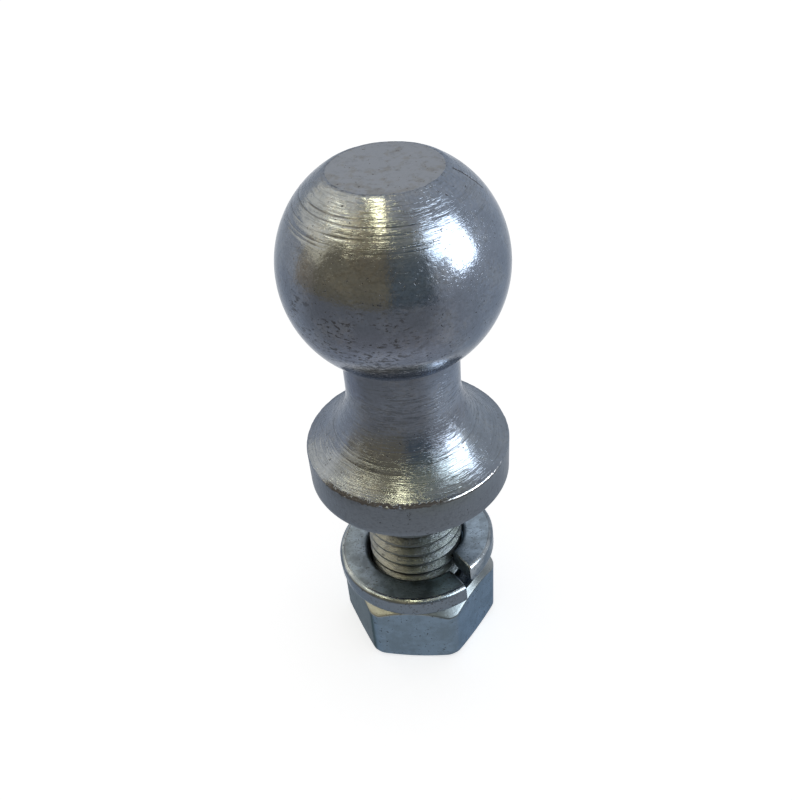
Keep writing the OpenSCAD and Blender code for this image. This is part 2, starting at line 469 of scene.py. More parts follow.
# Heights and radii are in mm. A pair says where a mark starts and where it is full, and three say
# between which two it lies and how soft its ends are. A side is a turn, a reach and a softness in
# degrees, and a turn of -90 is the front.
turnedSettings = {
    "plain": colour(0.160, 0.186, 0.236),
    "dull": colour(0.118, 0.136, 0.172),
    "flat": colour(0.206, 0.224, 0.262),
    "stain": colour(0.142, 0.136, 0.124),
    "blotch": colour(0.090, 0.104, 0.126),
    "side": colour(0.118, 0.134, 0.157),
    # Painted light on the ball's lowest part, strongest towards the front
    "under": colour(0.68, 0.70, 0.74),
    "thread": colour(0.068, 0.080, 0.082),
    # Painted light on the thread's left side
    "paintedLightThread": colour(0.170, 0.180, 0.184),
    # Scratches on the thread's right side, painted bright as glints
    "bared": colour(0.30, 0.34, 0.36),
    # Painted highlight along the rim's burr
    "burr": colour(0.78, 0.80, 0.84),
    # Darkens the thread's roots and the grooves
    "dirtAndShade": colour(0.030, 0.026, 0.022),
    # Dark scale on the rim, also used for the painted shadow line below the burr
    "scale": colour(0.040, 0.032, 0.028),
    "speck": colour(0.030, 0.028, 0.030),
    "fleck": colour(0.052, 0.054, 0.060),
    "edgeTint": colour(0.66, 0.70, 0.76),
    "roughness": {"plain": 0.10, "flat": 0.38, "thread": 0.27, "side": 0.28},
    "markDepth": 0.050 * mm,
    "noises": {"patches": (0.22, 3.0, 0.55), "cloud": (0.7, 4.0, 0.65), "peel": (1.9, 2.0, 0.55),
               "grain": (4.6, 2.0, 0.6), "spots": (2.3, 3.0, 0.6), "mottle": (2.7, 3.0, 0.7),
               "chips": (1.7, 3.0, 0.65)},
    "fleckStretch": (0.8, 0.8, 1.7),
    "fleckNoise": (1.5, 3.0, 0.55),
    "stripeStretch": (1.0, 1.0, 0.2),
    "stripeNoise": (2.6, 2.0),
    "fineRings": (4.6, 3.6, 2.0),
    "broadRings": (2.4, 1.8, 2.0),
    "scratches": [(38, 20, 1.0, 0.66), (118, -35, 1.3, 0.68)],
    # Where the noise of a mark starts to show and where it is full, and the mark's strength
    "covers": {
        "plain": (0.35, 0.68, 1),
        "dull": (0.52, 0.66, 0.35),
        "stain": (0.46, 0.62, 0.30),
        "blotch": (0.40, 0.64, 0.40),
        "flatStain": (0.50, 0.60, 0.42),
        "flatEdge": (0.54, 0.60, 0.85),
        "threadBlotch": (0.42, 0.64, 0.50),
        "ringLines": (0.52, 0.64, 1),
        "burr": (0.44, 0.52, 1),
        "speck": (0.63, 0.67, 1),
        "speckPatch": (0.46, 0.56, 1),
        "fleck": (0.54, 0.60, 1),
        "fleckPatch": (0.38, 0.50, 1),
    },
    "flatHeights": (86.0, 86.4),
    "flatRadius": 7.55,
    "edgeHeights": (85.9, 86.1),
    "ballRings": (80.4, 82.6),
    "neckRings": (59.8, 57.8),
    "neckRadius": 8.65,
    "paleHeights": (59.3, 56),
    "cleanHeights": (50, 60, 2),
    "flareHeights": (53, 50),
    "underHeights": (67.0, 64.4),
    "underFoot": (59.5, 59.7),
    "underSide": (-95, 32, 16),
    "sideHeights": (35.9, 41.8, 0.05),
    "sideRadius": (15.3, 15.6),
    "threadHeights": (33.5, 33.3),
    "rootRadius": (7.20, 6.70),
    "paintedLightThreadSide": (-155, 38, 18),
    "baredX": (1, 5),
    "soiledSide": (-125, 40, 20),
    "soiledTop": (77, 74),
    "soiledFoot": (64, 68),
    "scaleSide": (-108, 35, 6),
    "scaleRadius": (15.40, 15.58),
    "scaleHeights": (41.80, 42.20, 0.05),
    "burrSide": (-54, 19, 8),
    "burrRadius": (15.80, 16.20, 0.03),
    "burrHeights": (41.95, 42.60, 0.03),
    "shadowRadius": (15.6, 15.7),
    "shadowHeights": (41.60, 41.90, 0.04),
    "cut": {"turn": 3, "offset": -1.66, "half": 0.13, "heights": (83.2, 86.5, 0.2), "x": (8.0, 8.6)},
    # Painted light and shade: these zones lighten or darken the ball, neck and flare on given sides
    "paintedLightZones": [
        ((77.5, 95, 2.0), None, (1.28, 1.24, 1.16)),
        ((77.5, 95, 2.0), (-10, 50, 25), (1.03, 1.09, 1.18)),
        ((60, 66, 1.0), (-42, 14, 12), (0.70, 0.70, 0.70)),
        ((60, 66, 1.0), (-142, 14, 12), (0.72, 0.72, 0.72)),
        ((63, 69, 1.5), (-148, 25, 20), (0.85, 0.83, 0.85)),
        ((67, 72, 1.5), (-95, 18, 18), (1.14, 1.11, 1.12)),
        ((66, 77, 1.5), (-35, 18, 12), (1.08, 1.12, 1.15)),
        ((79, 83, 1.0), (-98, 10, 8), (0.80, 0.79, 0.80)),
        ((54, 59, 1.0), (-175, 38, 15), (0.77, 0.77, 0.83)),
        ((51, 59, 1.0), (-15, 45, 15), (1.20, 1.25, 1.30)),
        ((41, 48, 2.0), (-5, 45, 20), (1.24, 1.27, 1.24)),
        ((41, 50, 2.0), (180, 40, 20), (1.13, 1.13, 1.13)),
        ((41, 46, 2.0), (-130, 12, 8), (0.72, 0.71, 0.69)),
        ((41, 46, 2.0), (-73, 14, 12), (0.94, 0.94, 0.82)),
    ],
}


# The patterns that the stud's finish is made of
def studPatterns(graph, place, ring, s):
    def stretched(x, y, z):
        return graph.vector(ring["x"] * x, ring["y"] * y, ring["z"] * z)

    n = makeNoises(graph, place, s["noises"])
    n["flecks"] = graph.noise(stretched(*s["fleckStretch"]), *s["fleckNoise"])
    n["stripes"] = graph.noise(stretched(*s["stripeStretch"]), *s["stripeNoise"])
    n["fine"] = ringMarks(graph, ring, *s["fineRings"])
    n["broad"] = ringMarks(graph, ring, *s["broadRings"])
    n["ringLines"] = graph.cover(n["fine"], *s["covers"]["ringLines"])
    first, second = [scratches(graph, place, *line) for line in s["scratches"]]
    n["scratches"] = first + second
    return n


# Where the flat top, the thread, the flange's side and the rest of the turned metal lie, and where
# turning rings show on it
def studPlaces(graph, ring, n, s):
    z, radius = ring["z"], ring["radius"]
    flat = graph.step(radius + (n["cloud"] - 0.5) * 0.4, s["flatRadius"] + 0.10, s["flatRadius"] - 0.10)
    flat = flat * graph.step(z, *s["flatHeights"])
    thread = graph.step(z, *s["threadHeights"])
    side = graph.band(z, *s["sideHeights"]) * graph.step(radius, *s["sideRadius"])
    turned = (1 - flat) * (1 - thread) * (1 - side)
    rings = graph.maths("MAXIMUM", graph.step(z, *s["ballRings"]), graph.step(z, *s["neckRings"]))
    return {"flat": flat, "thread": thread, "side": side, "turned": turned, "rings": rings * turned}


# The metal without its marks is blotched, a little lighter on the neck and dark on the flange's side.
# Painted light brightens the ball's lowest part towards the front, and the zones paint light and shade.
def studMetal(graph, ring, n, on, s):
    z, c = ring["z"], s["covers"]
    shade = graph.mix(graph.cover(n["patches"], *c["plain"]), s["dull"], s["plain"])
    shade = graph.mix(graph.cover(n["cloud"], *c["dull"]), shade, s["dull"])
    shade = graph.mix(on["rings"] * n["ringLines"] * 0.6, shade, s["blotch"])
    shade = graph.mix(graph.cover(n["peel"] * 0.4 + n["patches"] * 0.6, *c["stain"]), shade, s["stain"])
    # Painted light: the ball's lowest part is lightened, most at the front
    under = graph.step(z, *s["underHeights"]) * graph.step(z, *s["underFoot"])
    under = under * graph.step(ring["radius"], s["neckRadius"], s["neckRadius"] + 0.3)
    under = under * (0.15 + 0.85 * facing(graph, ring, *s["underSide"]))
    shade = graph.mix(under, shade, s["under"])
    shade = graph.mix(on["side"], shade, s["side"])
    shade = graph.mix(graph.cover(n["mottle"], *c["blotch"]), shade, s["blotch"])
    shade = graph.mix(graph.step(z, *s["paleHeights"]) * on["turned"] * 0.10, shade, s["flat"])
    return paintLightAndShade(graph, ring, shade, s["paintedLightZones"])


# The flat top has brown stains, and dark marks along its edge
def studFlat(graph, ring, n, on, s, shade):
    c = s["covers"]
    shade = graph.mix(on["flat"], shade, s["flat"])
    stains = on["flat"] * graph.cover(n["patches"] * 0.4 + n["cloud"] * 0.6, *c["flatStain"])
    shade = graph.mix(stains, shade, s["stain"])
    away = ring["radius"] + (n["cloud"] - 0.5) * 0.5 - s["flatRadius"]
    edge = graph.band(away, -0.05, 0.30, 0.10) * graph.cover(n["mottle"], *c["flatEdge"])
    return graph.mix(edge * graph.step(ring["z"], *s["edgeHeights"]), shade, s["fleck"])


# Painted light on the thread's left side, darker roots, and scratches painted as glints on its right side
def studThread(graph, ring, n, on, s, shade):
    metal = graph.mix(facing(graph, ring, *s["paintedLightThreadSide"]), s["thread"], s["paintedLightThread"])
    metal = graph.mix(graph.cover(n["cloud"], *s["covers"]["threadBlotch"]), metal, s["blotch"])
    shade = graph.mix(on["thread"], shade, metal)
    shade = graph.mix(on["thread"] * graph.step(ring["radius"], *s["rootRadius"]) * 0.85, shade, s["dirtAndShade"])
    # Scratches painted bright as glints, only on the right side
    bared = n["scratches"] * graph.step(ring["x"], *s["baredX"]) * 0.7
    return graph.mix(on["thread"] * bared, shade, s["bared"])


# Flecks lie all over the turned metal, and most of them on the ball's lower left
def studFlecks(graph, ring, n, on, s):
    z, c = ring["z"], s["covers"]
    soiled = graph.step(z, *s["soiledTop"]) * facing(graph, ring, *s["soiledSide"])
    soiled = soiled * (0.3 + 0.7 * graph.step(z, *s["soiledFoot"])) * (1 - on["side"] * 0.7)
    flecks = graph.maths("MAXIMUM", soiled, 0.28) * (1 - on["thread"]) * (1 - on["rings"] * 0.7)
    flecks = flecks * graph.cover(n["flecks"], *c["fleck"]) * graph.cover(n["patches"], *c["fleckPatch"])
    return flecks * (1 - on["flat"] * 0.4)


def studSpecks(graph, ring, n, s):
    c = s["covers"]
    specks = graph.cover(n["spots"], *c["speck"]) * graph.cover(n["cloud"], *c["speckPatch"])
    return specks * (1 - 0.6 * graph.band(ring["z"], *s["cleanHeights"]))


# Darkens the cut grooves, the more the deeper they are, fading round the axis as the mesh grooves do
def grooveDarkening(graph, ring, on):
    dirtAndShade = 0
    for height, width, depth in grooveSettings["grooves"]:
        strength = min(depth * 9, 0.9)
        dirtAndShade = dirtAndShade + graph.band(ring["z"], height - width / 4, height + width / 4, width / 5) * strength
    dirtAndShade = dirtAndShade * grooveFade(graph, ring["cos"], ring["sin"], ring["z"]) * on["turned"]
    return graph.maths("MINIMUM", dirtAndShade, 1)


# Dark scale along the flange's upper rim, and a painted highlight on its burr with painted shadow below
def rimMarks(graph, ring, n, s):
    z, radius, chips = ring["z"], ring["radius"], n["chips"]
    scale = graph.step(radius + chips * 0.5, *s["scaleRadius"])
    scale = scale * graph.band(z + (chips - 0.5) * 1.1, *s["scaleHeights"])
    scale = scale * facing(graph, ring, *s["scaleSide"])
    jagged = (chips - 0.5) * 0.5 + (n["grain"] - 0.5) * 0.5
    byBurr = facing(graph, ring, *s["burrSide"])
    shadow = graph.band(z + jagged * 0.6, *s["shadowHeights"]) * graph.step(radius, *s["shadowRadius"])
    burr = graph.band(radius + jagged, *s["burrRadius"]) * graph.band(z + jagged * 0.5, *s["burrHeights"])
    burr = burr * byBurr * graph.cover(chips, *s["covers"]["burr"])
    return graph.maths("MAXIMUM", scale, shadow * byBurr * 0.8), burr


# One long cut on the ball's crown, beside the flat
def longCut(graph, ring, n, s):
    cut = s["cut"]
    a = math.radians(cut["turn"])
    aside = ring["y"] * math.cos(a) - ring["x"] * math.sin(a) - cut["offset"]
    aside = graph.maths("ABSOLUTE", aside + (n["broad"] - 0.5) * 0.3)
    along = graph.band(ring["z"], *cut["heights"]) * graph.step(ring["x"], *cut["x"])
    return graph.step(aside, cut["half"] * 2.2, cut["half"]) * along


def turnedMaterial(s):
    material, graph, place = startMaterial("turnedZinc")
    ring = ringPlace(graph, place)
    n = studPatterns(graph, place, ring, s)
    on = studPlaces(graph, ring, n, s)
    shade = studMetal(graph, ring, n, on, s)
    shade = studFlat(graph, ring, n, on, s, shade)
    shade = studThread(graph, ring, n, on, s, shade)
    flecks = studFlecks(graph, ring, n, on, s)
    specks = studSpecks(graph, ring, n, s)
    scale, burr = rimMarks(graph, ring, n, s)
    cut = longCut(graph, ring, n, s)
    shade = graph.mix(flecks * 0.9, shade, s["fleck"])
    shade = graph.mix(specks * 0.8, shade, s["speck"])
    shade = graph.mix(grooveDarkening(graph, ring, on), shade, s["dirtAndShade"])
    # Dark scale, and the painted shadow line below the burr
    shade = graph.mix(scale * 0.9, shade, s["scale"])
    # Painted highlight along the burr
    shade = graph.mix(burr, shade, s["burr"])
    shade = graph.mix(cut * 0.95, shade, s["speck"])

    # Heights are shares of markDepth
    flare = graph.step(ring["z"], *s["flareHeights"]) * on["turned"]
    rings = n["fine"] * (0.7 + 0.5 * flare) + n["broad"] * 0.8 - n["ringLines"] * 0.42
    skin = n["peel"] * 0.45 + n["grain"] * 0.13
    worn = n["broad"] * 0.9 + n["cloud"] * 1.9 + n["grain"] * 1.5
    height = on["rings"] * rings + (1 - on["rings"] * 0.3) * skin + on["thread"] * worn
    height = height + on["flat"] * n["cloud"] * 0.8 + on["side"] * n["stripes"] * 0.8
    height = height - specks * 0.2 - flecks * 0.1 - cut * 1.6 - scale * n["chips"] * 1.5
    height = height - n["scratches"] * (0.10 + on["thread"])

    gloss = s["roughness"]
    roughness = gloss["plain"] + 0.06 * n["patches"] + 0.08 * n["cloud"] + 0.45 * scale + 0.2 * specks
    for name in ("flat", "thread", "side"):
        roughness = roughness + (gloss[name] - gloss["plain"]) * on[name]
    endMaterial(graph, shade, roughness, 1 - 0.8 * scale, height, s["markDepth"], s["edgeTint"])
    return material


washerLook = {
    "plain": colour(0.240, 0.290, 0.340),
    "dull": colour(0.140, 0.165, 0.185),
    "edge": colour(0.240, 0.265, 0.290),
    "side": colour(0.115, 0.137, 0.166),
    # Dark specks of dirt, and the painted shade line where the edge band starts
    "dirtAndShade": colour(0.045, 0.042, 0.038),
    "edgeTint": colour(0.55, 0.60, 0.66),
    "bandRadius": 12.62,
    "sideRadius": 13.38,
    "roughness": {"plain": 0.28, "band": 0.13},
    "markDepth": 0.030 * mm,
    "noises": {"patches": (0.35, 3.0, 0.55), "mottle": (1.1, 4.0, 0.65), "grain": (3.2, 3.0, 0.6),
               "spots": (2.1, 3.0, 0.6)},
    "fleckNoise": (1.9, 3.0, 0.6),
    "streaks": (2.2, 2.0, 2.0),
    "scratches": (25, 10, 0.9, 0.64),
    "covers": {"plain": (0.52, 0.86, 1), "worn": (0.42, 0.56, 1), "line": (0.42, 0.56, 1),
               "speck": (0.60, 0.66, 1), "speckPatch": (0.42, 0.52, 1),
               "fleck": (0.57, 0.64, 1), "fleckPatch": (0.44, 0.54, 0.7)},
    # Painted light and shade: lighter on the right, a painted highlight beside the split, darker on the
    # left
    "paintedLightZones": [
        ((10, 30, 1.0), (-5, 45, 15), (1.20, 1.25, 1.32)),
        ((10, 30, 1.0), (-68, 8, 7), (1.80, 1.90, 1.85)),
        ((10, 30, 1.0), (-175, 20, 15), (0.84, 0.84, 0.85)),
        ((10, 30, 1.0), (-95, 25, 15), (0.90, 0.96, 0.96)),
    ],
}


# The washer has a smooth band along its upper edge, with a broken painted shade line where the band starts
def washerMaterial(s):
    material, graph, place = startMaterial("washerZinc")
    ring = ringPlace(graph, place)
    n, c = makeNoises(graph, place, s["noises"]), s["covers"]
    streaks = ringMarks(graph, ring, *s["streaks"])
    uneven = n["mottle"] - 0.5
    fromBand, fromSide = ring["radius"] - s["bandRadius"], ring["radius"] - s["sideRadius"]
    onBand = graph.step(fromBand + uneven * 0.25, -0.06, 0.06)
    onSide = graph.step(fromSide + uneven * 0.10, -0.10, 0.05)
    line = graph.band(fromBand + uneven * 0.30, -0.07, 0.03, 0.04) * graph.cover(streaks, *c["line"])
    shade = graph.mix(graph.cover(n["patches"] + 0.4 * n["mottle"], *c["plain"]), s["dull"], s["plain"])
    shade = paintLightAndShade(graph, ring, shade, s["paintedLightZones"])
    worn = graph.mix(graph.cover(streaks * 0.4 + n["patches"] * 0.6, *c["worn"]), s["side"], s["edge"])
    shade = graph.mix(onBand * 0.8, shade, worn)
    shade = graph.mix(onSide, shade, s["side"])
    # Painted shade: a broken dark line where the band starts
    shade = graph.mix(line * 0.7, shade, s["dirtAndShade"])
    flecks = graph.noise(graph.vector(ring["x"], ring["y"] * 1.8, ring["z"]), *s["fleckNoise"])
    flecks = graph.cover(flecks, *c["fleck"]) * graph.cover(n["patches"], *c["fleckPatch"])
    specks = graph.cover(n["spots"], *c["speck"]) * graph.cover(n["mottle"], *c["speckPatch"])
    specks = graph.maths("MAXIMUM", specks, flecks)
    shade = graph.mix(specks * 0.8, shade, s["dirtAndShade"])
    height = (n["mottle"] * 0.7 + n["grain"] * 0.35 + streaks * 0.5) * (1 - onBand * 0.65)
    height = height - line * 0.4 - specks * 0.4 - scratches(graph, place, *s["scratches"]) * 0.15
    gloss = s["roughness"]
    roughness = gloss["plain"] + 0.10 * n["mottle"] + 0.15 * specks
    roughness = roughness + (gloss["band"] - gloss["plain"]) * onBand
    endMaterial(graph, shade, roughness, 1.0, height, s["markDepth"], s["edgeTint"])
    return material


nutLook = {
    "plain": colour(0.138, 0.186, 0.240),
    "dull": colour(0.112, 0.148, 0.184),
    "edge": colour(0.215, 0.232, 0.240),
    "dirtAndShade": colour(0.040, 0.040, 0.040),
    # Painted shade, greenish, on one flat
    "paintedShadeFace": colour(0.058, 0.070, 0.056),
    # Painted shade on the chamfer towards the front right
    "worn": colour(0.062, 0.076, 0.086),
    "edgeTint": colour(0.43, 0.49, 0.57),
    "chamferShadeSide": (-48, 34, 10),
    "paintedShadeFaceSide": (-157.6, 28, 2),
    "boreRadius": (9.2, 8.4),
    "topHeights": (12.65, 12.85),
    "topRadius": 11.0,
    "topSlope": 0.781,  # the tangent of the chamfer's slope
    "roughness": 0.20,
    "markDepth": 0.022 * mm,
    "noises": {"patches": (0.28, 3.0, 0.55), "mottle": (0.9, 4.0, 0.6), "grain": (3.0, 3.0, 0.6),
               "spots": (2.1, 3.0, 0.6)},
    "rolledNoise": (2.4, 2.0),
    "scratches": (60, 70, 1.1, 0.66),
    "covers": {"plain": (0.38, 0.62, 1), "speck": (0.62, 0.67, 1), "speckPatch": (0.42, 0.52, 1),
               "bore": (0.35, 0.65, 1)},
    # Painted light on the face towards the front right
    "paintedLightZones": [
        ((-5, 30, 1.0), (-37.6, 28, 2), (1.17, 1.13, 1.13)),
    ],
}


# One flat has greenish painted shade and one face painted light, the turned chamfer is brighter than the
# flats but has painted shade on one side, and the bore is darker in patches
def nutMaterial(s):
    material, graph, place = startMaterial("nutZinc")
    ring = ringPlace(graph, place)
    z, radius = ring["z"], ring["radius"]
    n, c = makeNoises(graph, place, s["noises"]), s["covers"]
    rolled = graph.noise(graph.vector(ring["x"], ring["y"], z * 0.15), *s["rolledNoise"])
    bright = graph.cover(n["patches"] * 0.6 + n["mottle"] * 0.4, *c["plain"])
    shade = graph.mix(bright, s["dull"], s["plain"])
    # Painted shade on the flat towards the left
    shade = graph.mix(facing(graph, ring, *s["paintedShadeFaceSide"]), shade, s["paintedShadeFace"])
    shade = paintLightAndShade(graph, ring, shade, s["paintedLightZones"])
    inside = graph.step(radius, *s["boreRadius"])
    onTop = graph.step(z + (radius - s["topRadius"]) * s["topSlope"], *s["topHeights"]) * (1 - inside)
    shade = graph.mix(onTop * 0.9, shade, s["edge"])
    # Painted shade on the chamfer towards the front right
    shade = graph.mix(onTop * facing(graph, ring, *s["chamferShadeSide"]) * 0.8, shade, s["worn"])
    specks = graph.cover(n["spots"], *c["speck"]) * graph.cover(n["patches"], *c["speckPatch"])
    specksAndBore = graph.maths("MAXIMUM", specks * 0.8, inside * graph.cover(n["mottle"], *c["bore"]))
    shade = graph.mix(specksAndBore, shade, s["dirtAndShade"])
    height = n["mottle"] * 0.7 + n["grain"] * 0.25 + rolled * 0.5 - specks * 0.4
    height = height - scratches(graph, place, *s["scratches"]) * 0.15
    roughness = s["roughness"] + 0.10 * n["patches"] + 0.15 * specks + 0.2 * inside + 0.06 * onTop
    endMaterial(graph, shade, roughness, 1.0, height, s["markDepth"], s["edgeTint"])
    return material


turnedZinc = turnedMaterial(turnedSettings)
washerZinc = washerMaterial(washerLook)
nutZinc = nutMaterial(nutLook)
print("materials made")


def addInputs(tree, kind, *names):
    for name in names:
        tree.interface.new_socket(name, in_out="INPUT", socket_type="NodeSocket" + kind)


# Every sweep is given an outline and has these inputs
def startTree(name):
    tree = bpy.data.node_groups.new(name, "GeometryNodeTree")
    tree.interface.new_socket("Piece", in_out="OUTPUT", socket_type="NodeSocketGeometry")
    addInputs(tree, "Geometry", "Outline")
    addInputs(tree, "Int", "Columns")
    addInputs(tree, "Material", "Finish")
    return tree, Graph(tree)


# A grid with one column for each step of the way and one row for each point of the outline.
# Gives the grid, each point's column, and a function that reads an attribute of the outline.
def outlineGrid(graph, outline, columns):
    rows = graph.node("GeometryNodeAttributeDomainSize", {"component": "MESH"}, {"Geometry": outline},
                      "Point Count")
    grid = graph.node("GeometryNodeMeshGrid", {}, {"Vertices X": columns + 1, "Vertices Y": rows}, "Mesh")
    index = graph.node("GeometryNodeInputIndex", {}, {})
    row = index % rows

    def sample(kind, value):
        return graph.node("GeometryNodeSampleIndex", {"data_type": kind, "domain": "POINT"},
                          {"Geometry": outline, "Value": value, "Index": row}, "Value")

    def mark(name):
        return sample("FLOAT", graph.node("GeometryNodeInputNamedAttribute", {"data_type": "FLOAT"},
                                          {"Name": name}, "Attribute"))

    place = sample("FLOAT_VECTOR", graph.node("GeometryNodeInputPosition", {}, {}))
    return grid, graph.maths("FLOOR", (index + 0.5) / rows), place, mark


# Small lumps and hollows, from -0.5 to 0.5
def unevenness(graph, spot, size, seed):
    return graph.node("ShaderNodeTexNoise", {"noise_dimensions": "4D"},
                      {"Vector": spot, "W": seed, "Scale": 1 / size, "Detail": 2.0}) - 0.5


# Moves a grid's points to their places, closes its seam and poles, and smooths all but the edges that
# are sharper than crease degrees
def finishTree(graph, grid, place, finish, crease):
    placed = graph.node("GeometryNodeSetPosition", {}, {"Geometry": grid, "Position": place})
    closed = graph.node("GeometryNodeMergeByDistance", {}, {"Geometry": placed, "Distance": 0.002 * mm})
    smooth = graph.node("GeometryNodeSetShadeSmooth", {"domain": "FACE"},
                        {"Geometry": closed, "Shade Smooth": True})
    edge = graph.node("GeometryNodeInputMeshEdgeAngle", {}, {}, "Unsigned Angle")
    sharp = graph.node("FunctionNodeCompare", {"data_type": "FLOAT", "operation": "GREATER_THAN"},
                       {"A": edge, "B": math.radians(crease)})
    smooth = graph.node("GeometryNodeSetShadeSmooth", {"domain": "EDGE"},
                        {"Geometry": smooth, "Selection": sharp, "Shade Smooth": False})
    real = graph.node("GeometryNodeRealizeInstances", {}, {"Geometry": smooth})
    painted = graph.node("GeometryNodeSetMaterial", {}, {"Geometry": real, "Material": finish})
    graph.node("NodeGroupOutput", {}, {"Piece": painted})


# Sweeps an outline round the Z axis. Marks on its points say what happens there: lead 1 is a thread,
# which climbs one pitch in a turn between the heights Low and High; spread takes a point out towards
# the hexagon and rise is the slope at which that lifts it; groove is a depth that fades round the
# axis; chip cuts a worn edge back and burr raises it, each near one direction; wear is unevenness.
def sweepTree():
    tree, graph = startTree("turnedSweep")
    addInputs(tree, "Float", "Pitch", "Start", "Low", "High", "Low Radius", "High Radius", "Side")
    addInputs(tree, "Float", "Flats Radius", "Corner Radius", "Corner Turn", "Corner Round")
    addInputs(tree, "Float", "Chip Turn", "Chip Reach", "Burr Turn", "Burr Reach", "Wear Size", "Seed")
    given = graph.node("NodeGroupInput", {}, {}, "Outline")
    take = given.output
    grid, column, place, mark = outlineGrid(graph, given, take("Columns"))
    turn = column / take("Columns")
    radius, height = graph.split(place)[::2]
    angle = take("Start") + turn * math.tau
    cosine, sine = graph.maths("COSINE", angle), graph.maths("SINE", angle)

    # The thread
    low, high, side = take("Low"), take("High"), take("Side")
    free = height + take("Pitch") * turn
    held = graph.maths("MINIMUM", graph.maths("MAXIMUM", free, low), high)
    below = graph.maths("LESS_THAN", free, low)
    above = graph.maths("GREATER_THAN", free, high)
    lowLimit = side * take("Low Radius") + (held - low)
    highLimit = side * take("High Radius") + (high - held)
    cut = side * graph.maths("MINIMUM", side * radius, graph.maths("MINIMUM", lowLimit, highLimit))
    cut = (1 - below) * (1 - above) * cut + below * take("Low Radius") + above * take("High Radius")
    lead = mark("lead")

    # The hexagon
    sixth = math.tau / 6
    fromFlat = (angle - take("Corner Turn")) % sixth - sixth / 2
    hexagon = graph.maths("SMOOTH_MIN", take("Flats Radius") / graph.maths("COSINE", fromFlat),
                          take("Corner Radius"), take("Corner Round"))
    out = mark("spread") * (hexagon - radius)
    lift = out * mark("rise")

    # Grooves, chips and burrs
    fade = grooveFade(graph, cosine, sine, height / mm)
    radius = radius + lead * (cut - radius) + out - mark("groove") * fade
    height = height + lead * (held - height) + lift

    # Softly 1 within the reach of a direction
    def near(turnName, reachName):
        reach, soft = take(reachName), math.radians(6)
        return graph.step(graph.maths("COSINE", angle - take(turnName)),
                          graph.maths("COSINE", reach + soft), graph.maths("COSINE", reach))

    # Teeth are finer lumps
    spot = graph.vector(cosine * radius, sine * radius, height)
    lumps = unevenness(graph, spot, take("Wear Size"), take("Seed"))
    teeth = unevenness(graph, spot, take("Wear Size") * 0.45, take("Seed") + 5)
    bites = graph.maths("MAXIMUM", lumps + teeth, -0.1)
    chipped = mark("chip") * (0.25 + near("Chip Turn", "Chip Reach")) * bites
    raised = mark("burr") * near("Burr Turn", "Burr Reach") * (0.6 + lumps + 1.8 * teeth)
    moved = mark("wear") * lumps - chipped + raised
    radius = radius + moved
    height = height + moved
    finishTree(graph, grid, graph.vector(cosine * radius, sine * radius, height), take("Finish"), crease=32)
    return tree


# Winds an outline into one open coil that climbs clockwise, cuts its ends straight, leans it and
# stands it on its foot. The first and last columns close the ends, and their neighbours break the edges.
def coilTree():
    tree, graph = startTree("splitCoil")
    addInputs(tree, "Float", "Middle Radius", "Middle Height", "Rise", "Lean", "Lean Turn", "Foot")
    addInputs(tree, "Float", "Cut Turn", "Cut Offset", "Cut Width", "End Break", "Wear Size", "Seed")
    given = graph.node("NodeGroupInput", {}, {}, "Outline")
    take = given.output
    columns = take("Columns")
    grid, column, place, mark = outlineGrid(graph, given, columns)
    middle, centre = take("Middle Radius"), take("Middle Height")
    fromEnd = graph.maths("MINIMUM", column, columns - column)
    isCap = graph.maths("LESS_THAN", fromEnd, 0.5)
    isRim = graph.maths("LESS_THAN", fromEnd, 1.5)
    share = (column - 2) / (columns - 4)
    inset = take("End Break") / (middle * math.tau)
    share = inset + (1 - 2 * inset) * share
    atStart = graph.maths("LESS_THAN", column, 1.5)
    atEnd = graph.maths("GREATER_THAN", column, columns - 1.5)
    share = share * (1 - atStart) * (1 - atEnd) + atEnd
    radius, height = graph.split(place)[::2]
    narrow = (1 - isCap) * (1 - isRim * take("End Break") / centre)
    radius = middle + (radius - middle) * narrow
    height = centre + (height - centre) * narrow

    def cutTurn(offset):
        return take("Cut Turn") + graph.maths("ARCSINE", offset / radius)

    first = cutTurn(take("Cut Offset"))
    last = cutTurn(take("Cut Offset") + take("Cut Width")) - math.tau
    angle = first + (last - first) * share
    cosine, sine = graph.maths("COSINE", angle), graph.maths("SINE", angle)
    climbed = height + take("Rise") * (share - 0.5) - centre
    spot = graph.vector(cosine * radius, sine * radius, climbed)
    lumps = mark("wear") * unevenness(graph, spot, take("Wear Size"), take("Seed"))
    spot = graph.vector(cosine * (radius + lumps), sine * (radius + lumps), climbed + lumps * 0.5)
    leanTurn = take("Lean Turn")
    axis = graph.vector(-graph.maths("SINE", leanTurn), graph.maths("COSINE", leanTurn), 0)
    spot = graph.node("ShaderNodeVectorRotate", {}, {"Vector": spot, "Axis": axis, "Angle": take("Lean")})
    x, y, z = graph.split(spot)
    lowest = graph.node("GeometryNodeAttributeStatistic", {"data_type": "FLOAT", "domain": "POINT"},
                        {"Geometry": grid, "Attribute": z}, "Min")
    finishTree(graph, grid, graph.vector(x, y, z - lowest + take("Foot")), take("Finish"), crease=40)
    return tree


def outlineObject(name, points):
    mesh = bpy.data.meshes.new(name)
    mesh.from_pydata([(p["radius"], 0, p["height"]) for p in points],
                     [(i, i + 1) for i in range(len(points) - 1)], [])
    for key in ("lead", "spread", "rise", "groove", "chip", "burr", "wear"):
        layer = mesh.attributes.new(key, "FLOAT", "POINT")
        layer.data.foreach_set("value", [float(p.get(key, 0)) for p in points])
    return addObject(name, mesh)


